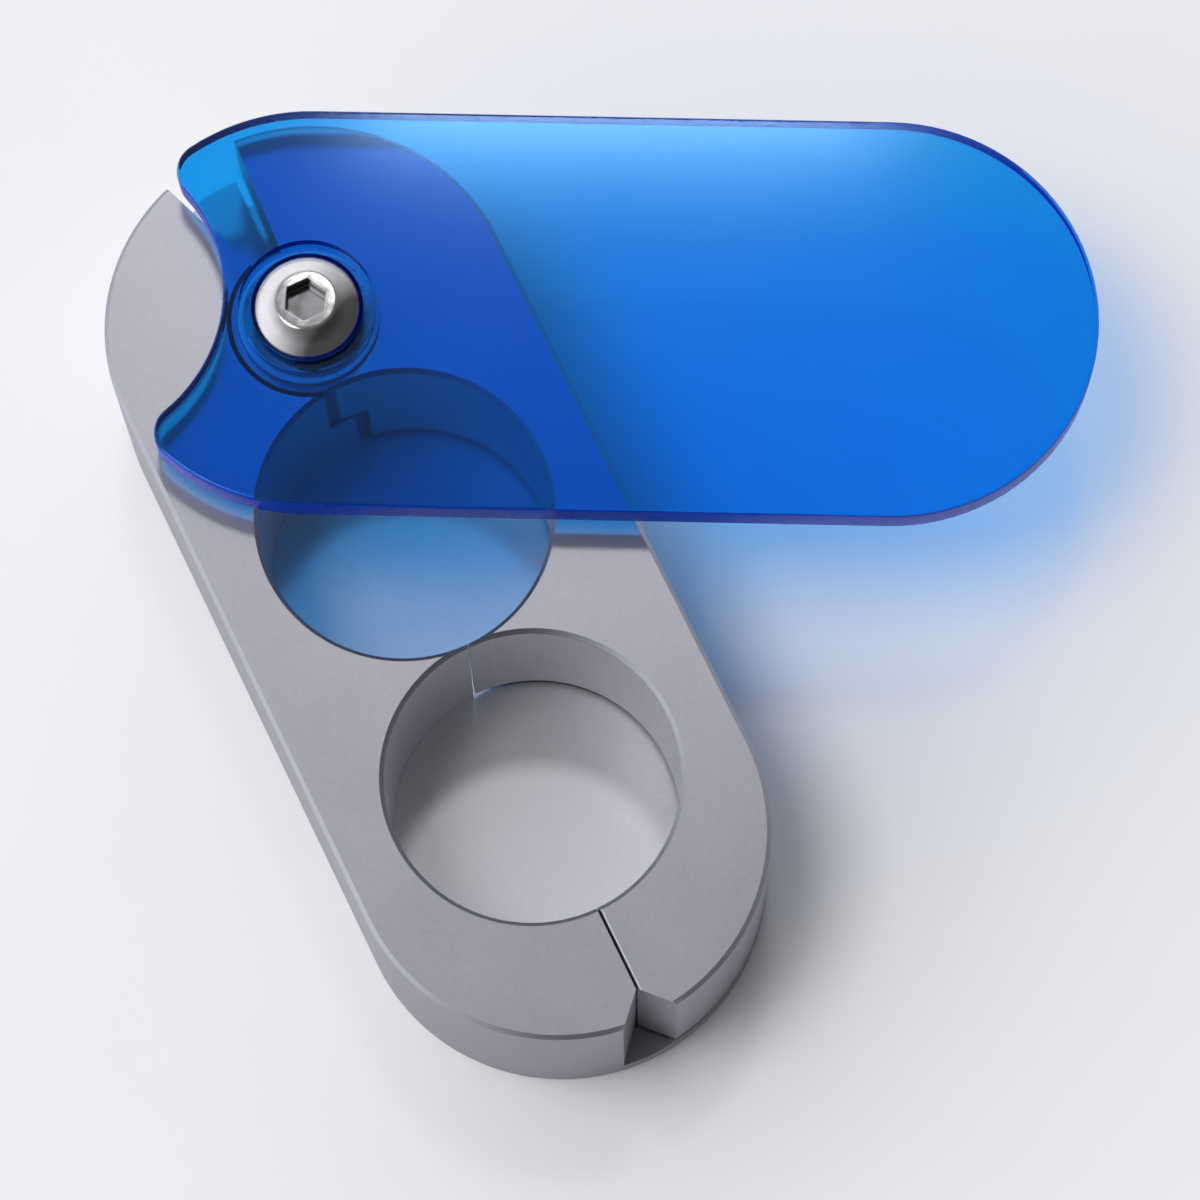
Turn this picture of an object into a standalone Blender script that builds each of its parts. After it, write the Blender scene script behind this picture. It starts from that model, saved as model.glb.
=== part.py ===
"""Hinged pill splitter: two aluminium jaws and a see-through cover, all turning on one screw.

The closed body is a flat stadium. Two round pockets sit side by side along its middle line,
and the webs of metal left between them are the two opposed blades. The fixed jaw carries
the whole floor and the left-hand wall; the swing jaw is the right-hand wall. At the pivot
the two jaws lap: a lug of the fixed jaw below, the hub of the swing jaw above.

Frame: metres, +Z up, origin at the middle of the underside. The body lies along Y, with the
tip towards -Y and the pivot towards +Y. The swing jaw is on the +X side.
"""

from math import acos, atan2, cos, hypot, pi, radians, sin, sqrt, tan

import bmesh
import bpy
from mathutils import Matrix

MM = 0.001

# Driving dimensions
BODY_RADIUS = 17.0 * MM
CENTRE_DISTANCE = 47.5 * MM
BODY_HEIGHT = 18.0 * MM
FLOOR_THICKNESS = 2.0 * MM
LUG_HEIGHT = 8.8 * MM
POCKET_RADIUS = 11.95 * MM
POCKET_FROM_PIVOT = 18.4 * MM
BLADE_EDGE = 0.3 * MM
COVER_THICKNESS = 3.0 * MM
COVER_GAP = 1.5 * MM
COVER_OPEN_ANGLE = 63.0

# Running gaps
SEAM_GAP = 0.3 * MM
FLOOR_GAP = 0.8 * MM
HUB_GAP = 0.4 * MM
BUSH_GAP = 0.3 * MM
FACE_GAP = 0.15 * MM

# Details of the jaws
EDGE_CHAMFER = 0.35 * MM
HUB_RADIUS = 6.4 * MM
TAIL_WALL_ANGLE = 110.0
LEDGE_ANGLE = 89.0
TAIL_LIP_ANGLE = 87.0
TAIL_SHOULDER_ANGLE = 62.0
NOTCH_DEPTH = 2.8 * MM
NOTCH_HALF_ANGLE = 42.0
THREAD_HOLE_RADIUS = 2.7 * MM

# Details of the cover
BITE_RADIUS = 13.5 * MM
BITE_FROM_PIVOT = 6.9 * MM
BITE_CORNER_RADIUS = 2.5 * MM
BITE_TURN = 2.0
COVER_EDGE_ROUND = 0.3 * MM
RECESS_RADIUS = 5.6 * MM
RECESS_DEPTH = 1.0 * MM

# Pivot hardware
SCREW_RADIUS = 2.38 * MM
HEAD_RADIUS = 4.6 * MM
HEAD_HEIGHT = 2.2 * MM
HEAD_RIM = 0.5 * MM
HEAD_FLAT_RADIUS = 2.3 * MM
DOME_CURVE = 1.5
SOCKET_ACROSS_FLATS = 3.18 * MM
SOCKET_DEPTH = 1.4 * MM
SCREW_END_HEIGHT = 0.8 * MM
SCREW_END_CHAMFER = 0.4 * MM
BUSH_RADIUS = 3.3 * MM
BUSH_BORE_RADIUS = 2.65 * MM
BUSH_EASE = 0.15 * MM
WASHER_EASE = 0.1 * MM
THRUST_WASHER_RADIUS = 6.0 * MM
THRUST_WASHER_THICKNESS = 0.6 * MM
SPACER_RADIUS = 5.8 * MM
SPACER_THICKNESS = 0.5 * MM
WAVE_RADIUS = 5.4 * MM
WAVE_THICKNESS = 0.2 * MM
WAVE_RISE = 0.12 * MM
WAVE_COUNT = 3

# Worked out from the above
PIVOT_Y = CENTRE_DISTANCE / 2
TIP_CENTRE_Y = -CENTRE_DISTANCE / 2
POCKET_SPACING = 2 * POCKET_RADIUS + BLADE_EDGE
SWING_FLOOR = FLOOR_THICKNESS + FLOOR_GAP
THRUST_WASHER_LOW = LUG_HEIGHT + FACE_GAP
HUB_LOW = THRUST_WASHER_LOW + THRUST_WASHER_THICKNESS + FACE_GAP
SPACER_LOW = BODY_HEIGHT + FACE_GAP
WAVE_MIDDLE = SPACER_LOW + SPACER_THICKNESS + FACE_GAP + WAVE_RISE + WAVE_THICKNESS / 2
COVER_LOW = BODY_HEIGHT + COVER_GAP
COVER_TOP = COVER_LOW + COVER_THICKNESS
HEAD_LOW = COVER_TOP - RECESS_DEPTH + FACE_GAP
BUSH_LOW = LUG_HEIGHT + FACE_GAP
BUSH_TOP = HEAD_LOW - FACE_GAP
BORE_RADIUS = BUSH_RADIUS + BUSH_GAP

# How finely curves are cut, and how far cutters run past what they cut
ROUND_STEPS = 96
SMALL_STEPS = 48
SMALL_RADIUS = 5.9 * MM
DOME_STEPS = 8
ARC_STEP = 2 * pi / ROUND_STEPS
OVERSHOOT = 1 * MM
ABOVE_BODY = BODY_HEIGHT + 2 * OVERSHOOT
NOTCH_REACH = 10 * MM
BEYOND = 60 * MM
SHARP_ANGLE = radians(30)
BEVEL_ANGLE = radians(60)
FLAT_ANGLE = radians(0.05)
FLAT_NORMAL = 0.999
WELD = 1e-6

ALUMINIUM = ("aluminium", (0.62, 0.62, 0.66, 1.0), 1.0, 0.34)
STEEL = ("stainless_steel", (0.74, 0.72, 0.71, 1.0), 1.0, 0.18)
SPRING_STEEL = ("spring_steel", (0.42, 0.41, 0.40, 1.0), 1.0, 0.30)
NYLON = ("nylon", (0.80, 0.80, 0.76, 1.0), 0.0, 0.45)
BLUE_COVER = ("blue_polycarbonate", (0.0, 0.19, 0.85, 1.0), 0.0, 0.08)


def clear_scene():
    for item in list(bpy.data.objects):
        bpy.data.objects.remove(item, do_unlink=True)


def new_collection(name):
    collection = bpy.data.collections.new(name)
    bpy.context.scene.collection.children.link(collection)
    return collection


def make_material(name, colour, metallic, roughness):
    material = bpy.data.materials.new(name)
    material.use_nodes = True
    shader = material.node_tree.nodes["Principled BSDF"]
    shader.inputs["Base Color"].default_value = colour
    shader.inputs["Metallic"].default_value = metallic
    shader.inputs["Roughness"].default_value = roughness
    return material


# Outlines, as lists of (x, y)


def arc(centre, radius, start, end):
    """Points on a circle from one angle to another, in radians, both ends included."""
    steps = max(2, round(abs(end - start) / ARC_STEP))
    points = []
    for i in range(steps + 1):
        angle = start + (end - start) * i / steps
        points.append((centre[0] + radius * cos(angle), centre[1] + radius * sin(angle)))
    return points


def stadium():
    """The body's outline: two half circles and the straight sides between them."""
    pivot_end = arc((0.0, PIVOT_Y), BODY_RADIUS, 0.0, pi)
    tip_end = arc((0.0, TIP_CENTRE_Y), BODY_RADIUS, pi, 2 * pi)
    return pivot_end + tip_end


def cover_outline():
    """The cover about its pivot, pointing to +X: a stadium whose tail is bitten by a circle.

    Each corner between the tail and the bite is rounded by an arc that touches the tail from
    inside and the bite from outside. Its centre is found from the triangle that it makes with
    the two circles' centres. The bite is then turned a little about the pivot.
    """
    bite_centre = BITE_RADIUS + BITE_FROM_PIVOT
    to_corner = BODY_RADIUS - BITE_CORNER_RADIUS
    bite_to_corner = BITE_RADIUS + BITE_CORNER_RADIUS
    cosine = (to_corner**2 + bite_centre**2 - bite_to_corner**2) / (2 * to_corner * bite_centre)
    tail = pi - acos(cosine)
    corner = (to_corner * cos(tail), to_corner * sin(tail))
    toward_bite = atan2(-corner[1], -bite_centre - corner[0]) % (2 * pi)
    bite_angle = atan2(corner[1], corner[0] + bite_centre)

    upper = arc(corner, BITE_CORNER_RADIUS, tail, toward_bite)
    lower = [(x, -y) for x, y in reversed(upper)]
    bite = upper + arc((-bite_centre, 0.0), BITE_RADIUS, bite_angle, -bite_angle)[1:-1] + lower
    turn = radians(-BITE_TURN)
    turned_bite = [(x * cos(turn) - y * sin(turn), x * sin(turn) + y * cos(turn)) for x, y in bite]

    far_end = arc((CENTRE_DISTANCE, 0.0), BODY_RADIUS, -pi / 2, pi / 2)
    upper_tail = arc((0.0, 0.0), BODY_RADIUS, pi / 2, tail + turn)[:-1]
    lower_tail = arc((0.0, 0.0), BODY_RADIUS, 2 * pi - tail + turn, 3 * pi / 2)[1:]
    return far_end + upper_tail + turned_bite + lower_tail


def sector(*corners):
    """A polygon from the pivot out past the body, by polar angles in degrees."""
    points = [(0.0, PIVOT_Y)]
    for angle in corners:
        points.append((BEYOND * cos(radians(angle)), PIVOT_Y + BEYOND * sin(radians(angle))))
    return points


def half_plane(edge_x, side, tail_angle):
    """Everything on one side of the seam, round to a ray behind the pivot.

    edge_x is the seam line ahead of the pivot, side is +1 for the right and -1 for the left.
    """
    reach = sector(tail_angle)[1]
    far_x = side * BEYOND
    return [
        (edge_x, -BEYOND),
        (far_x, -BEYOND),
        (far_x, PIVOT_Y + BEYOND),
        reach,
        (0.0, PIVOT_Y),
        (edge_x, PIVOT_Y - HUB_RADIUS / 2),
    ]


# Solids


def shade(mesh, smooth=True):
    """Smooth sides with sharp corners, and level faces left flat."""
    if not smooth:
        mesh.shade_flat()
        return
    mesh.shade_smooth()
    mesh.set_sharp_from_angle(angle=SHARP_ANGLE)
    for polygon in mesh.polygons:
        if abs(polygon.normal.z) > FLAT_NORMAL:
            polygon.use_smooth = False


def weld(mesh):
    bm = bmesh.new()
    bm.from_mesh(mesh)
    bmesh.ops.remove_doubles(bm, verts=bm.verts, dist=WELD)
    bmesh.ops.dissolve_limit(bm, angle_limit=FLAT_ANGLE, verts=bm.verts, edges=bm.edges)
    bmesh.ops.recalc_face_normals(bm, faces=bm.faces)
    bm.to_mesh(mesh)
    bm.free()


def prism(name, outline, low, high, collection, smooth=True):
    """A filled flat curve given thickness, then made a mesh.

    Its heights are set exactly, so that floors cut by different tools lie in one plane.
    """
    curve = bpy.data.curves.new(name, "CURVE")
    curve.dimensions = "2D"
    curve.fill_mode = "BOTH"
    curve.extrude = (high - low) / 2
    spline = curve.splines.new("POLY")
    spline.points.add(len(outline) - 1)
    for point, (x, y) in zip(spline.points, outline):
        point.co = (x, y, 0.0, 1.0)
    spline.use_cyclic_u = True
    flat = bpy.data.objects.new(name + "_outline", curve)
    flat.location.z = (high + low) / 2
    collection.objects.link(flat)
    bpy.context.view_layer.update()
    depsgraph = bpy.context.evaluated_depsgraph_get()
    mesh = bpy.data.meshes.new_from_object(flat.evaluated_get(depsgraph))
    mesh.name = name
    mesh.transform(flat.matrix_world)
    for vertex in mesh.vertices:
        vertex.co.z = high if vertex.co.z > (high + low) / 2 else low
    weld(mesh)
    shade(mesh, smooth)
    solid = bpy.data.objects.new(name, mesh)
    collection.objects.link(solid)
    bpy.data.objects.remove(flat, do_unlink=True)
    return solid


def turned(name, profile, centre_y, collection, closed=False):
    """A profile of (radius, height) from the top down, turned about an upright axis on Y."""
    mesh = bpy.data.meshes.new(name)
    edges = [(i, i + 1) for i in range(len(profile) - 1)]
    if closed:
        edges.append((len(profile) - 1, 0))
    mesh.from_pydata([(radius, 0.0, height) for radius, height in profile], edges, [])
    solid = bpy.data.objects.new(name, mesh)
    solid.location = (0.0, centre_y, 0.0)
    collection.objects.link(solid)
    screw = solid.modifiers.new("turn", "SCREW")
    widest = max(radius for radius, height in profile)
    screw.steps = ROUND_STEPS if widest > SMALL_RADIUS else SMALL_STEPS
    screw.render_steps = screw.steps
    screw.use_merge_vertices = True
    screw.merge_threshold = WELD
    screw.use_smooth_shade = True
    bpy.context.view_layer.update()
    depsgraph = bpy.context.evaluated_depsgraph_get()
    solid_mesh = bpy.data.meshes.new_from_object(solid.evaluated_get(depsgraph))
    solid.modifiers.clear()
    solid.data = solid_mesh
    solid_mesh.name = name
    bpy.data.meshes.remove(mesh)
    weld(solid_mesh)
    shade(solid_mesh)
    return solid


def ring(name, bore, radius, low, high, ease, collection):
    """A washer or sleeve on the pivot's axis, with its outer corners eased."""
    profile = [
        (bore, high),
        (radius - ease, high),
        (radius, high - ease),
        (radius, low + ease),
        (radius - ease, low),
        (bore, low),
    ]
    return turned(name, profile, PIVOT_Y, collection, closed=True)


def disc(name, radius, low, high, collection):
    """A plain upright cylinder on the pivot's axis."""
    profile = [(0.0, high), (radius, high), (radius, low), (0.0, low)]
    return turned(name, profile, PIVOT_Y, collection)


def bevel(item, width, segments=1):
    modifier = item.modifiers.new("edge", "BEVEL")
    modifier.width = width
    modifier.segments = segments
    modifier.limit_method = "ANGLE"
    modifier.angle_limit = BEVEL_ANGLE


def boolean(item, tool, operation):
    modifier = item.modifiers.new(tool.name, "BOOLEAN")
    modifier.operation = operation
    modifier.solver = "EXACT"
    modifier.object = tool


def cut(item, *tools):
    for tool in tools:
        boolean(item, tool, "DIFFERENCE")


def hide_cutters(cutters):
    for item in cutters.objects:
        item.hide_render = True
        item.display_type = "WIRE"


# Sub-parts


def pocket_cutters(cutters):
    """The two round pockets, each with a small chamfer at its mouth."""
    made = []
    for label, distance in (
        ("near", POCKET_FROM_PIVOT),
        ("far", POCKET_FROM_PIVOT + POCKET_SPACING),
    ):
        profile = [
            (0.0, BODY_HEIGHT + OVERSHOOT),
            (POCKET_RADIUS + EDGE_CHAMFER + OVERSHOOT, BODY_HEIGHT + OVERSHOOT),
            (POCKET_RADIUS, BODY_HEIGHT - EDGE_CHAMFER),
            (POCKET_RADIUS, FLOOR_THICKNESS),
            (0.0, FLOOR_THICKNESS),
        ]
        made.append(turned(label + "_pocket", profile, PIVOT_Y - distance, cutters))
    return made


def notch_cutter(cutters):
    """The nail notch: a V through both jaws at the tip, above the floor."""
    apex = (0.0, TIP_CENTRE_Y - BODY_RADIUS + NOTCH_DEPTH)
    spread = NOTCH_REACH * tan(radians(NOTCH_HALF_ANGLE))
    mouth_y = apex[1] - NOTCH_REACH
    outline = [apex, (spread, mouth_y), (-spread, mouth_y)]
    return prism("nail_notch", outline, FLOOR_THICKNESS, ABOVE_BODY, cutters, smooth=False)


def make_fixed_jaw(parts, cutters, pockets, notch):
    """Floor, left-hand wall with its blade, the lug under the hub and the ledge at the tail."""
    jaw = prism("fixed_jaw", stadium(), 0.0, BODY_HEIGHT, parts)
    bevel(jaw, EDGE_CHAMFER)

    upper = prism(
        "fixed_upper_space",
        half_plane(-SEAM_GAP / 2, 1, TAIL_WALL_ANGLE),
        LUG_HEIGHT,
        ABOVE_BODY,
        cutters,
        smooth=False,
    )
    lower = prism(
        "fixed_lower_space",
        half_plane(-SEAM_GAP / 2, 1, LEDGE_ANGLE),
        FLOOR_THICKNESS,
        LUG_HEIGHT + OVERSHOOT,
        cutters,
        smooth=False,
    )
    cut(lower, disc("lug_outline", HUB_RADIUS, 0.0, ABOVE_BODY, cutters))
    seat = disc("hub_seat", HUB_RADIUS + HUB_GAP, LUG_HEIGHT, ABOVE_BODY, cutters)
    hole = disc("thread_hole", THREAD_HOLE_RADIUS, -OVERSHOOT, ABOVE_BODY, cutters)
    cut(jaw, upper, lower, seat, *pockets, notch, hole)
    return jaw


def make_swing_jaw(parts, cutters, pockets, notch):
    """Right-hand wall with its blade, and the hub and tail lip that lap over the fixed lug."""
    jaw = prism("swing_jaw", stadium(), SWING_FLOOR, BODY_HEIGHT, parts)
    bevel(jaw, EDGE_CHAMFER)

    left = prism(
        "swing_left_space",
        half_plane(SEAM_GAP / 2, -1, TAIL_LIP_ANGLE),
        0.0,
        ABOVE_BODY,
        cutters,
        smooth=False,
    )
    hub = disc("hub_outline", HUB_RADIUS, -OVERSHOOT, ABOVE_BODY + OVERSHOOT, cutters)
    cut(left, hub)
    lug_room = disc("lug_room", HUB_RADIUS + HUB_GAP, 0.0, HUB_LOW, cutters)
    lip_room = prism(
        "lip_room",
        sector(TAIL_SHOULDER_ANGLE, TAIL_WALL_ANGLE),
        0.0,
        HUB_LOW,
        cutters,
        smooth=False,
    )
    bore = disc("hub_bore", BORE_RADIUS, 0.0, ABOVE_BODY, cutters)
    cut(jaw, left, lug_room, lip_room, *pockets, notch, bore)
    return jaw


def make_cover(parts, cutters):
    """The flat cover, swung open about the pivot, with a shallow recess for the screw head."""
    cover = prism("cover", cover_outline(), COVER_LOW, COVER_TOP, parts)
    turn = Matrix.Rotation(radians(COVER_OPEN_ANGLE - 90), 4, "Z")
    cover.matrix_world = Matrix.Translation((0.0, PIVOT_Y, 0.0)) @ turn @ cover.matrix_world
    bevel(cover, COVER_EDGE_ROUND, segments=2)
    floor = COVER_TOP - RECESS_DEPTH
    recess = disc("head_recess", RECESS_RADIUS, floor, COVER_TOP + OVERSHOOT, cutters)
    bore = disc("cover_bore", BORE_RADIUS, 0.0, COVER_TOP + 2 * OVERSHOOT, cutters)
    cut(cover, recess, bore)
    return cover


def head_dome():
    """The button head's curved top, from its flat out to its rim, as one arc.

    The arc's radius is a set multiple of the chord between its two ends.
    """
    rise = HEAD_HEIGHT - HEAD_RIM
    run = HEAD_RADIUS - HEAD_FLAT_RADIUS
    chord = hypot(rise, run)
    radius = DOME_CURVE * chord
    half = sqrt(radius**2 - (chord / 2) ** 2)
    middle = ((HEAD_RADIUS + HEAD_FLAT_RADIUS) / 2, HEAD_LOW + HEAD_RIM + rise / 2)
    centre = (middle[0] - half * rise / chord, middle[1] - half * run / chord)
    start = atan2(HEAD_LOW + HEAD_HEIGHT - centre[1], HEAD_FLAT_RADIUS - centre[0])
    end = atan2(HEAD_LOW + HEAD_RIM - centre[1], HEAD_RADIUS - centre[0])
    points = []
    for i in range(DOME_STEPS + 1):
        angle = start + (end - start) * i / DOME_STEPS
        points.append((centre[0] + radius * cos(angle), centre[1] + radius * sin(angle)))
    return points


def make_screw(parts, cutters):
    """Button head with a hexagon socket, and a plain shank down into the lug."""
    top = HEAD_LOW + HEAD_HEIGHT
    profile = [(0.0, top)]
    profile += head_dome()
    profile += [
        (HEAD_RADIUS, HEAD_LOW),
        (SCREW_RADIUS, HEAD_LOW),
        (SCREW_RADIUS, SCREW_END_HEIGHT + SCREW_END_CHAMFER),
        (SCREW_RADIUS - SCREW_END_CHAMFER, SCREW_END_HEIGHT),
        (0.0, SCREW_END_HEIGHT),
    ]
    screw = turned("pivot_screw", profile, PIVOT_Y, parts)
    corner = SOCKET_ACROSS_FLATS / sqrt(3)
    hexagon = [
        (corner * cos(i * pi / 3), PIVOT_Y + corner * sin(i * pi / 3)) for i in range(6)
    ]
    high = top + OVERSHOOT
    socket = prism("hex_socket", hexagon, top - SOCKET_DEPTH, high, cutters, smooth=False)
    cut(screw, socket)
    return screw


def make_wave_washer(parts):
    """A thin flat ring bent up and down round its circle, then given thickness."""
    mesh = bpy.data.meshes.new("wave_washer")
    bm = bmesh.new()
    inner = bm.verts.new((BORE_RADIUS, 0.0, 0.0))
    outer = bm.verts.new((WAVE_RADIUS, 0.0, 0.0))
    edge = bm.edges.new((inner, outer))
    bmesh.ops.spin(
        bm,
        geom=[inner, outer, edge],
        axis=(0.0, 0.0, 1.0),
        angle=2 * pi,
        steps=SMALL_STEPS,
        use_duplicate=False,
    )
    bmesh.ops.remove_doubles(bm, verts=bm.verts, dist=WELD)
    for vert in bm.verts:
        vert.co.z = WAVE_RISE * cos(WAVE_COUNT * atan2(vert.co.y, vert.co.x))
    bmesh.ops.recalc_face_normals(bm, faces=bm.faces)
    bm.to_mesh(mesh)
    bm.free()
    mesh.shade_smooth()
    washer = bpy.data.objects.new("wave_washer", mesh)
    washer.location = (0.0, PIVOT_Y, WAVE_MIDDLE)
    parts.objects.link(washer)
    solidify = washer.modifiers.new("thickness", "SOLIDIFY")
    solidify.thickness = WAVE_THICKNESS
    solidify.offset = 0.0
    return washer


def make_pivot_rings(parts):
    """The sleeve on the screw and the two plain washers."""
    bush = ring("pivot_bush", BUSH_BORE_RADIUS, BUSH_RADIUS, BUSH_LOW, BUSH_TOP, BUSH_EASE, parts)
    thrust = ring(
        "thrust_washer",
        BORE_RADIUS,
        THRUST_WASHER_RADIUS,
        THRUST_WASHER_LOW,
        THRUST_WASHER_LOW + THRUST_WASHER_THICKNESS,
        WASHER_EASE,
        parts,
    )
    spacer = ring(
        "spacer_washer",
        BORE_RADIUS,
        SPACER_RADIUS,
        SPACER_LOW,
        SPACER_LOW + SPACER_THICKNESS,
        WASHER_EASE,
        parts,
    )
    return bush, thrust, spacer


def hinge_origin(item):
    """Put a turning piece's origin on the pivot's axis without moving its shape."""
    pivot = Matrix.Translation((0.0, PIVOT_Y, 0.0))
    item.data.transform(pivot.inverted() @ item.matrix_world)
    item.matrix_world = pivot


def main():
    clear_scene()
    parts = new_collection("pill_splitter")
    cutters = new_collection("cutters")

    pockets = pocket_cutters(cutters)
    notch = notch_cutter(cutters)
    fixed_jaw = make_fixed_jaw(parts, cutters, pockets, notch)
    swing_jaw = make_swing_jaw(parts, cutters, pockets, notch)
    cover = make_cover(parts, cutters)
    screw = make_screw(parts, cutters)
    bush, thrust, spacer = make_pivot_rings(parts)
    wave = make_wave_washer(parts)

    for turning in (swing_jaw, cover):
        hinge_origin(turning)
    finishes = (
        (ALUMINIUM, (fixed_jaw, swing_jaw)),
        (BLUE_COVER, (cover,)),
        (STEEL, (screw, bush)),
        (NYLON, (thrust, spacer)),
        (SPRING_STEEL, (wave,)),
    )
    for finish, items in finishes:
        material = make_material(*finish)
        for item in items:
            item.data.materials.clear()
            item.data.materials.append(material)
    hide_cutters(cutters)


main()
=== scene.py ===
"""Looks for the hinged pill splitter: finished metal, see-through blue cover and studio.

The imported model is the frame. Each of its nodes is shown by a finished copy of the same
shape, with welded and softened edges and a procedural material.
"""

from math import cos, radians, sin

import bmesh
import bpy
from mathutils import Matrix, Vector


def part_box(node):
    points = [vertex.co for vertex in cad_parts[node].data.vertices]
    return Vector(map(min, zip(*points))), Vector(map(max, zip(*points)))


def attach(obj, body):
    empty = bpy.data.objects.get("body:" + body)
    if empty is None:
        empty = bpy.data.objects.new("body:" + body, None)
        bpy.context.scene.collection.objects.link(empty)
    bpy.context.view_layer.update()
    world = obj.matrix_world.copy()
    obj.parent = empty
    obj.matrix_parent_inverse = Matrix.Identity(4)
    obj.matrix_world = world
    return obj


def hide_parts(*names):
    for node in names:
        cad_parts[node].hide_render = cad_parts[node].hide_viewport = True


MM = 0.001

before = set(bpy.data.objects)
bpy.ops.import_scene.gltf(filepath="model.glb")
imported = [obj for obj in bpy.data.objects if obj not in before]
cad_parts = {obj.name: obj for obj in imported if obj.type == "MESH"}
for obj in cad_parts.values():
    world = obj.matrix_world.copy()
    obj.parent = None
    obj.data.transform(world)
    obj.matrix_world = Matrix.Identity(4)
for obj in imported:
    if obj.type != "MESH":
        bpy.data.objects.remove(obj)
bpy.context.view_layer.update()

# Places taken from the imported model
screw_low, screw_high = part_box("pivot_screw")
PIVOT = (screw_low + screw_high) / 2
BODY_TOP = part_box("fixed_jaw")[1].z
FLOOR_TOP = 2.0 * MM
POCKET_SPACING = 24.2 * MM
POCKET_FROM_PIVOT = 18.4 * MM
POCKET_RADIUS = 11.95 * MM
NEAR_POCKET_Y = PIVOT.y - POCKET_FROM_PIVOT
FAR_POCKET_Y = NEAR_POCKET_Y - POCKET_SPACING
SCREW_TOP = screw_high.z
SOCKET_REACH = 1.95 * MM
SOCKET_FLOOR = SCREW_TOP - 1.4 * MM

# Camera
VIEW_AZIMUTH = -23.9
VIEW_ELEVATION = 74.2
VIEW_ROLL = -1.8
VIEW_DISTANCE = 404 * MM
VIEW_TARGET = Vector((12.2, -5.8, 9.5)) * MM
LENS = 146.4

# Faces of the cover that belong to its outer edge
RIM_SLOPE = 0.9
RIM_FROM_PIVOT = 6.4 * MM

# Sheet of paper that the object lies on, in metres
PAPER_SIZE = 6.0

# Tent round the object, by the upward part of a direction
TENT_FULL = 0.50
TENT_END = 0.93
TENT_TOP = 0.30

# Welding, and the angles that tell flat from curved and curved from sharp
WELD = 1e-6
FLAT_ANGLE = radians(0.3)
SHARP_ANGLE = radians(30)

# Softened edges
EDGE = 0.06 * MM
EDGE_SEGMENTS = 3
SPLIT_EDGE = 0.34 * MM
SEAM_REACH = 0.25 * MM
FACE_FROM_MIDDLE = 0.05 * MM


# Shader helpers


def new_material(name):
    material = bpy.data.materials.new(name)
    material.use_nodes = True
    tree = material.node_tree
    return material, tree, tree.nodes["Principled BSDF"]


def add(tree, kind, **settings):
    node = tree.nodes.new(kind)
    for key, value in settings.items():
        setattr(node, key, value)
    return node


def plug(tree, value, socket):
    """Links an output, or sets a plain number or colour."""
    if isinstance(value, bpy.types.NodeSocket):
        tree.links.new(value, socket)
    else:
        socket.default_value = value


def maths(tree, operation, a, b=None, clamp=False):
    node = add(tree, "ShaderNodeMath", operation=operation, use_clamp=clamp)
    plug(tree, a, node.inputs[0])
    if b is not None:
        plug(tree, b, node.inputs[1])
    return node.outputs[0]


def remap(tree, value, low, high, to_low, to_high):
    node = add(tree, "ShaderNodeMapRange")
    plug(tree, value, node.inputs["Value"])
    node.inputs["From Min"].default_value = low
    node.inputs["From Max"].default_value = high
    node.inputs["To Min"].default_value = to_low
    node.inputs["To Max"].default_value = to_high
    return node.outputs["Result"]


def mix_colour(tree, share, a, b):
    node = add(tree, "ShaderNodeMix", data_type="RGBA")
    plug(tree, share, node.inputs["Factor"])
    plug(tree, a, node.inputs[6])
    plug(tree, b, node.inputs[7])
    return node.outputs[2]


def noise(tree, scale, detail=2.0, roughness=0.5, stretch=(1.0, 1.0, 1.0)):
    """Noise over the piece's own metres: scale is in cells a metre."""
    coordinates = add(tree, "ShaderNodeTexCoord")
    mapping = add(tree, "ShaderNodeMapping")
    mapping.inputs["Scale"].default_value = stretch
    tree.links.new(coordinates.outputs["Object"], mapping.inputs["Vector"])
    node = add(tree, "ShaderNodeTexNoise")
    tree.links.new(mapping.outputs["Vector"], node.inputs["Vector"])
    node.inputs["Scale"].default_value = scale
    node.inputs["Detail"].default_value = detail
    node.inputs["Roughness"].default_value = roughness
    return node.outputs["Fac"]


def bump(tree, height, distance, strength=1.0, normal=None):
    node = add(tree, "ShaderNodeBump")
    plug(tree, height, node.inputs["Height"])
    node.inputs["Distance"].default_value = distance
    node.inputs["Strength"].default_value = strength
    if normal is not None:
        tree.links.new(normal, node.inputs["Normal"])
    return node.outputs["Normal"]


# Materials


def radius_about(tree, x, y):
    """Distance from the upright axis through (x, y), in the frame's metres at rest."""
    coordinates = add(tree, "ShaderNodeTexCoord")
    flat = add(tree, "ShaderNodeVectorMath", operation="MULTIPLY")
    flat.inputs[1].default_value = (1.0, 1.0, 0.0)
    tree.links.new(coordinates.outputs["Object"], flat.inputs[0])
    distance = add(tree, "ShaderNodeVectorMath", operation="DISTANCE")
    distance.inputs[1].default_value = (x, y, 0.0)
    tree.links.new(flat.outputs["Vector"], distance.inputs[0])
    return distance.outputs["Value"]


def rings(tree, radius, scale):
    """Noise that changes with the radius only: turning or milling marks."""
    node = add(tree, "ShaderNodeTexNoise", noise_dimensions="1D")
    plug(tree, radius, node.inputs["W"])
    node.inputs["Scale"].default_value = scale
    node.inputs["Detail"].default_value = 3.0
    node.inputs["Roughness"].default_value = 0.7
    return node.outputs["Fac"]


def height_above(tree, low, high):
    """0 below the height low and 1 above high, in metres up the piece."""
    coordinates = add(tree, "ShaderNodeTexCoord")
    parts = add(tree, "ShaderNodeSeparateXYZ")
    tree.links.new(coordinates.outputs["Object"], parts.inputs[0])
    return remap(tree, parts.outputs["Z"], low, high, 0.0, 1.0)


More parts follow.
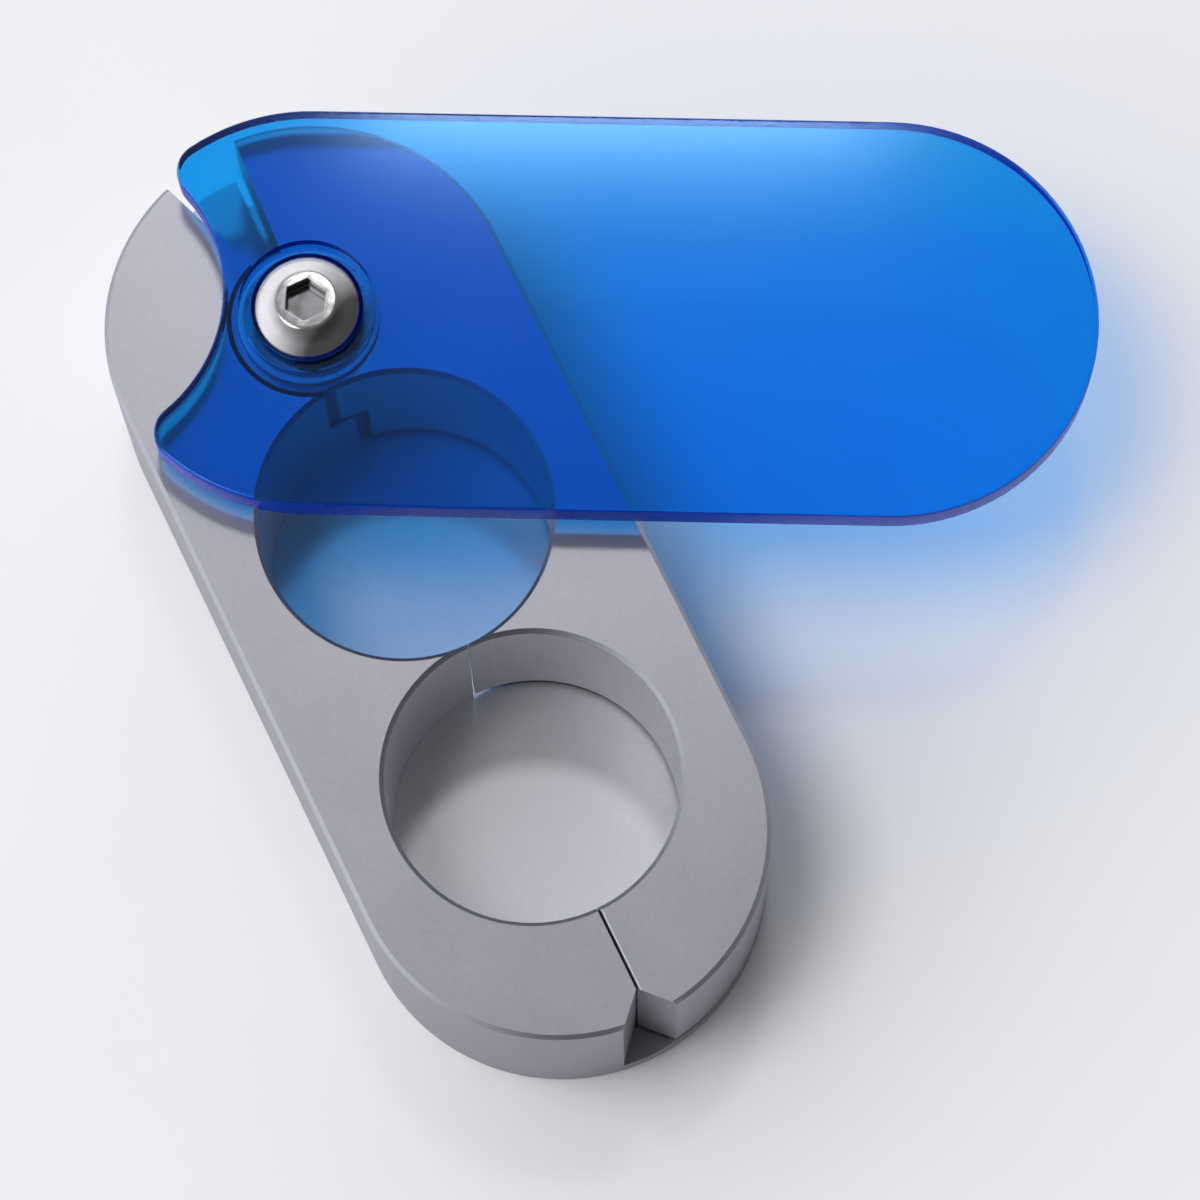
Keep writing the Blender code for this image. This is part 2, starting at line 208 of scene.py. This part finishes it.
def aluminium():
    """Satin aluminium: fine grain on the flats that runs into upright streaks on the walls.

    The pocket bores are a little rougher than the tumbled outside and painted much brighter: partly
    their machined finish, partly painted fill light for the shade down in the pockets. The pocket
    floor carries the rings the cutter left.
    """
    material, tree, shader = new_material("satin_aluminium")
    grain = noise(tree, 3200.0, 3.0, 0.6, (1.0, 1.0, 0.06))
    streaks = noise(tree, 900.0, 3.0, 0.6, (3.0, 0.12, 0.12))
    clouds = noise(tree, 90.0, 2.0, 0.5)
    tone = maths(tree, "ADD", grain, clouds)
    share = remap(tree, tone, 0.7, 1.3, 0.0, 1.0)
    tumbled = mix_colour(tree, share, (0.345, 0.345, 0.385, 1.0), (0.385, 0.385, 0.425, 1.0))
    # Pocket walls and floors are painted far brighter than the outside: partly their machined
    # finish, partly painted fill light for the shade inside the pockets.
    walls = mix_colour(tree, share, (0.80, 0.80, 0.84, 1.0), (0.88, 0.88, 0.92, 1.0))
    floors = mix_colour(tree, share, (0.58, 0.58, 0.62, 1.0), (0.64, 0.64, 0.68, 1.0))
    height = maths(tree, "ADD", grain, maths(tree, "MULTIPLY", streaks, 0.6))
    grain_rough = remap(tree, grain, 0.3, 0.7, 0.33, 0.36)
    rough = maths(tree, "ADD", grain_rough, remap(tree, clouds, 0.3, 0.7, -0.01, 0.01))
    rim = BODY_TOP - 0.4 * MM
    ground = FLOOR_TOP + 0.1 * MM
    under_rim = maths(tree, "SUBTRACT", 1.0, height_above(tree, rim - 0.1 * MM, rim))
    on_floor = maths(tree, "SUBTRACT", 1.0, height_above(tree, ground, ground + 0.1 * MM))
    in_pocket = 0.0
    for y in (NEAR_POCKET_Y, FAR_POCKET_Y):
        radius = radius_about(tree, 0.0, y)
        inside = maths(tree, "LESS_THAN", radius, POCKET_RADIUS + 0.1 * MM)
        in_pocket = maths(tree, "MAXIMUM", inside, in_pocket)
        marked = maths(tree, "MULTIPLY", inside, on_floor)
        marks = maths(tree, "MULTIPLY", rings(tree, radius, 3000.0), 1.6)
        height = maths(tree, "ADD", height, maths(tree, "MULTIPLY", marks, marked))
    in_pocket = maths(tree, "MULTIPLY", in_pocket, under_rim)
    # Painted fill light inside the pockets, laid over their machined finish.
    bored_finish_and_painted_fill = mix_colour(tree, on_floor, walls, floors)
    plug(tree, mix_colour(tree, in_pocket, tumbled, bored_finish_and_painted_fill), shader.inputs["Base Color"])
    shader.inputs["Specular Tint"].default_value = (0.78, 0.78, 0.80, 1.0)
    shader.inputs["Metallic"].default_value = 1.0
    rougher = maths(tree, "MULTIPLY", in_pocket, 0.12)
    plug(tree, maths(tree, "ADD", rough, rougher), shader.inputs["Roughness"])
    plug(tree, bump(tree, height, 0.004 * MM, 0.35), shader.inputs["Normal"])
    return material


def blue_polycarbonate():
    """Blue see-through plastic: clear surface, tint in the depth, light passing through."""
    material, tree, shader = new_material("blue_polycarbonate")
    output = tree.nodes["Material Output"]
    ripple = noise(tree, 160.0, 3.0, 0.6)
    shader.inputs["Base Color"].default_value = (0.01, 0.58, 0.93, 1.0)
    shader.inputs["Transmission Weight"].default_value = 1.0
    shader.inputs["IOR"].default_value = 1.58
    shader.inputs["Specular Tint"].default_value = (0.35, 0.6, 1.0, 1.0)
    plug(tree, remap(tree, ripple, 0.3, 0.7, 0.082, 0.090), shader.inputs["Roughness"])
    plug(tree, bump(tree, ripple, 0.004 * MM, 0.2), shader.inputs["Normal"])
    clear = add(tree, "ShaderNodeBsdfTransparent")
    clear.inputs["Color"].default_value = (0.55, 0.86, 0.98, 1.0)
    depth = add(tree, "ShaderNodeVolumeAbsorption")
    depth.inputs["Color"].default_value = (0.0, 0.61, 0.985, 1.0)
    depth.inputs["Density"].default_value = 450.0
    tree.links.new(depth.outputs[0], output.inputs["Volume"])
    path = add(tree, "ShaderNodeLightPath")
    mix = add(tree, "ShaderNodeMixShader")
    tree.links.new(path.outputs["Is Shadow Ray"], mix.inputs[0])
    tree.links.new(shader.outputs[0], mix.inputs[1])
    tree.links.new(clear.outputs[0], mix.inputs[2])
    tree.links.new(mix.outputs[0], output.inputs["Surface"])
    return material


def polycarbonate_rim():
    """The cover's edge all round, navy: there the blue is seen through its whole depth."""
    material, tree, shader = new_material("blue_polycarbonate_rim")
    clouds = noise(tree, 300.0, 2.0, 0.5)
    share = remap(tree, clouds, 0.3, 0.7, 0.0, 1.0)
    navy = mix_colour(tree, share, (0.0, 0.035, 0.46, 1.0), (0.002, 0.06, 0.58, 1.0))
    plug(tree, navy, shader.inputs["Base Color"])
    plug(tree, remap(tree, clouds, 0.3, 0.7, 0.26, 0.30), shader.inputs["Roughness"])
    shader.inputs["Specular IOR Level"].default_value = 0.15
    return material


def stainless_steel():
    """Polished stainless steel with faint turning rings, and painted shade inside the socket: dark
    walls, a less dark floor.
    """
    material, tree, shader = new_material("stainless_steel")
    clouds = noise(tree, 700.0, 3.0, 0.6)
    share = remap(tree, clouds, 0.3, 0.7, 0.0, 1.0)
    bright = mix_colour(tree, share, (0.44, 0.44, 0.45, 1.0), (0.52, 0.51, 0.51, 1.0))
    # Painted shade in the hex socket: near-black down its walls, less dark on its floor.
    radius = radius_about(tree, PIVOT.x, PIVOT.y)
    core = remap(tree, radius, SOCKET_REACH, SOCKET_REACH - 0.1 * MM, 0.0, 1.0)
    near_top = height_above(tree, SCREW_TOP - 0.7 * MM, SCREW_TOP - 0.15 * MM)
    below = maths(tree, "SUBTRACT", 1.0, near_top)
    off_floor = height_above(tree, SOCKET_FLOOR, SOCKET_FLOOR + 0.1 * MM)
    on_wall = remap(tree, off_floor, 0.0, 1.0, 0.55, 1.0)
    painted_socket_shade = maths(tree, "MULTIPLY", maths(tree, "MULTIPLY", core, below), on_wall)
    # The near-black here is painted shade, not a colour of the steel.
    tone = mix_colour(tree, painted_socket_shade, bright, (0.035, 0.035, 0.045, 1.0))
    plug(tree, tone, shader.inputs["Base Color"])
    shader.inputs["Metallic"].default_value = 1.0
    plug(tree, remap(tree, clouds, 0.3, 0.7, 0.10, 0.18), shader.inputs["Roughness"])
    turned = bump(tree, rings(tree, radius, 2500.0), 0.002 * MM, 0.4)
    plug(tree, turned, shader.inputs["Normal"])
    return material


def nylon():
    """Natural nylon: cream, with a soft sheen that drifts a little from place to place."""
    material, tree, shader = new_material("natural_nylon")
    clouds = noise(tree, 500.0, 3.0, 0.6)
    share = remap(tree, clouds, 0.3, 0.7, 0.0, 1.0)
    cream = mix_colour(tree, share, (0.70, 0.69, 0.63, 1.0), (0.82, 0.81, 0.76, 1.0))
    plug(tree, cream, shader.inputs["Base Color"])
    plug(tree, remap(tree, clouds, 0.3, 0.7, 0.38, 0.52), shader.inputs["Roughness"])
    plug(tree, bump(tree, clouds, 0.01 * MM, 0.3), shader.inputs["Normal"])
    return material


def spring_steel():
    """Darker steel, left as rolled."""
    material, tree, shader = new_material("spring_steel")
    clouds = noise(tree, 800.0, 3.0, 0.6)
    share = remap(tree, clouds, 0.3, 0.7, 0.0, 1.0)
    grey = mix_colour(tree, share, (0.30, 0.29, 0.28, 1.0), (0.46, 0.45, 0.43, 1.0))
    plug(tree, grey, shader.inputs["Base Color"])
    shader.inputs["Metallic"].default_value = 1.0
    plug(tree, remap(tree, clouds, 0.3, 0.7, 0.24, 0.36), shader.inputs["Roughness"])
    plug(tree, bump(tree, clouds, 0.005 * MM, 0.3), shader.inputs["Normal"])
    return material


def backdrop_paper():
    """Matt white paper with a faint drift in its tone."""
    material, tree, shader = new_material("pale_paper")
    fibres = noise(tree, 30.0, 3.0, 0.6)
    share = remap(tree, fibres, 0.3, 0.7, 0.0, 1.0)
    white = mix_colour(tree, share, (0.80, 0.80, 0.815, 1.0), (0.815, 0.815, 0.83, 1.0))
    plug(tree, white, shader.inputs["Base Color"])
    shader.inputs["Roughness"].default_value = 0.9
    shader.inputs["Specular IOR Level"].default_value = 0.1
    return material


# Pieces


def finished_copy(node, name, material, body, edge, shape=None):
    """The node's own shape, welded, with its sharp edges softened, riding on its body.

    edge is the width the sharp edges are softened to; shape may adjust the welded mesh first.
    """
    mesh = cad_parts[node].data.copy()
    mesh.name = name
    bm = bmesh.new()
    bm.from_mesh(mesh)
    bmesh.ops.remove_doubles(bm, verts=bm.verts, dist=WELD)
    bmesh.ops.dissolve_limit(bm, angle_limit=FLAT_ANGLE, verts=bm.verts, edges=bm.edges)
    if shape:
        shape(bm)
    bm.to_mesh(mesh)
    bm.free()
    mesh.materials.clear()
    mesh.materials.append(material)
    mesh.shade_smooth()
    mesh.set_sharp_from_angle(angle=SHARP_ANGLE)
    piece = bpy.data.objects.new(name, mesh)
    bpy.context.scene.collection.objects.link(piece)
    if edge:
        modifier = piece.modifiers.new("edge", "BEVEL")
        modifier.width = edge
        modifier.segments = EDGE_SEGMENTS
        modifier.limit_method = "ANGLE"
        modifier.angle_limit = SHARP_ANGLE
    weighted = piece.modifiers.new("flat faces stay flat", "WEIGHTED_NORMAL")
    weighted.keep_sharp = True
    weighted.weight = 100
    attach(piece, body)
    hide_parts(node)
    return piece


def bring_faces_together(bm, side):
    """Closes the jaws' facing edges, at the blades and the split, to a hair's width."""
    for point in bm.verts:
        x, y, z = point.co
        if abs(x) < SEAM_REACH and y < NEAR_POCKET_Y and z > FLOOR_TOP + WELD:
            point.co.x = side * FACE_FROM_MIDDLE


def fixed_jaw_shape(bm):
    bring_faces_together(bm, -1)


def swing_jaw_shape(bm):
    """Also eases the top edge of the split at the free end, which catches the light."""
    bring_faces_together(bm, 1)
    split = []
    for line in bm.edges:
        ends = [point.co for point in line.verts]
        on_top = all(end.z > BODY_TOP - WELD for end in ends)
        past_pocket = all(end.y < FAR_POCKET_Y - POCKET_RADIUS for end in ends)
        if on_top and past_pocket and all(abs(end.x) < SEAM_REACH for end in ends):
            split.append(line)
    bmesh.ops.bevel(
        bm,
        geom=split,
        offset=SPLIT_EDGE,
        segments=EDGE_SEGMENTS,
        profile=0.5,
        affect="EDGES",
    )


def dress_object():
    """One finished copy for each of the part's nodes."""
    metal = aluminium()
    rim = polycarbonate_rim()
    blue = blue_polycarbonate()
    steel = stainless_steel()
    plastic = nylon()
    spring = spring_steel()
    finished_copy("fixed_jaw", "jaw_with_floor", metal, "base", EDGE, fixed_jaw_shape)
    finished_copy("swing_jaw", "jaw_that_swings", metal, "jaw", EDGE, swing_jaw_shape)
    cover = finished_copy("cover", "see_through_cover", blue, "lid", 0)
    cover.data.materials.append(rim)
    for face in cover.data.polygons:
        if abs(face.normal.z) < RIM_SLOPE and (face.center - PIVOT).xy.length > RIM_FROM_PIVOT:
            face.material_index = 1
    finished_copy("pivot_screw", "button_head_screw", steel, "base", EDGE)
    finished_copy("pivot_bush", "pivot_sleeve", steel, "base", 0)
    finished_copy("thrust_washer", "hub_washer", plastic, "base", 0)
    finished_copy("spacer_washer", "cover_washer", plastic, "base", 0)
    finished_copy("wave_washer", "wave_spring_washer", spring, "base", 0)


# Studio


def add_floor():
    """The sheet of paper under the object, level with its underside."""
    mesh = bpy.data.meshes.new("floor")
    bm = bmesh.new()
    bmesh.ops.create_grid(bm, x_segments=2, y_segments=2, size=PAPER_SIZE / 2)
    bm.to_mesh(mesh)
    bm.free()
    mesh.materials.append(backdrop_paper())
    floor = bpy.data.objects.new("floor", mesh)
    bpy.context.scene.collection.objects.link(floor)


def soft_light(name, direction, distance, size, power, in_reflections):
    """A soft light facing the object; out of reflections, it lights only what is matt."""
    light = bpy.data.lights.new(name, "AREA")
    light.shape = "RECTANGLE"
    light.size, light.size_y = size
    light.energy = power
    lamp = bpy.data.objects.new(name, light)
    toward = Vector(direction).normalized()
    lamp.location = VIEW_TARGET + toward * distance
    lamp.rotation_mode = "QUATERNION"
    lamp.rotation_quaternion = toward.to_track_quat("Z", "Y")
    lamp.visible_glossy = in_reflections
    lamp.visible_transmission = False
    bpy.context.scene.collection.objects.link(lamp)


def add_world(colour, bright_side, dimmest, brightest):
    """A tent open at the top: a bright band round the horizon, dimmer away from the bright side."""
    world = bpy.data.worlds.new("studio")
    world.use_nodes = True
    tree = world.node_tree
    coordinates = add(tree, "ShaderNodeTexCoord")
    direction = coordinates.outputs["Generated"]
    parts = add(tree, "ShaderNodeSeparateXYZ")
    tree.links.new(direction, parts.inputs[0])
    band = remap(tree, parts.outputs["Z"], TENT_FULL, TENT_END, 1.0, TENT_TOP)
    facing = add(tree, "ShaderNodeVectorMath", operation="DOT_PRODUCT")
    facing.inputs[1].default_value = Vector(bright_side).normalized()
    tree.links.new(direction, facing.inputs[0])
    side = remap(tree, facing.outputs["Value"], -0.5, 0.6, dimmest, brightest)
    background = tree.nodes["Background"]
    background.inputs["Color"].default_value = colour
    plug(tree, maths(tree, "MULTIPLY", band, side), background.inputs["Strength"])
    bpy.context.scene.world = world


def add_camera():
    """A long lens looking down at the object, turned a little about its own axis."""
    azimuth, elevation = radians(VIEW_AZIMUTH), radians(VIEW_ELEVATION)
    back = Vector((sin(azimuth) * cos(elevation), -cos(azimuth) * cos(elevation), sin(elevation)))
    right = Vector((cos(azimuth), sin(azimuth), 0.0))
    up = back.cross(right)
    turn = Matrix((right, up, back)).transposed() @ Matrix.Rotation(radians(VIEW_ROLL), 3, "Z")
    data = bpy.data.cameras.new("camera")
    data.lens = LENS
    data.clip_start = 0.01
    data.clip_end = 20.0
    camera = bpy.data.objects.new("camera", data)
    camera.matrix_world = Matrix.Translation(VIEW_TARGET + back * VIEW_DISTANCE) @ turn.to_4x4()
    bpy.context.scene.collection.objects.link(camera)
    bpy.context.scene.camera = camera


dress_object()
add_floor()
soft_light("overhead", (-0.33, 0.12, 0.935), 3.0, (1.3, 1.3), 34.0, False)
soft_light("left", (-0.32, 0.10, 0.94), 3.0, (0.9, 0.9), 9.0, True)
soft_light("strip behind", (0.178, 0.377, 0.908), 3.0, (0.36, 0.30), 6.5, True)
add_world((0.96, 0.97, 1.0, 1.0), (-0.5, 0.85, 0.0), 0.12, 1.75)
add_camera()
bpy.context.scene.view_settings.view_transform = "Standard"
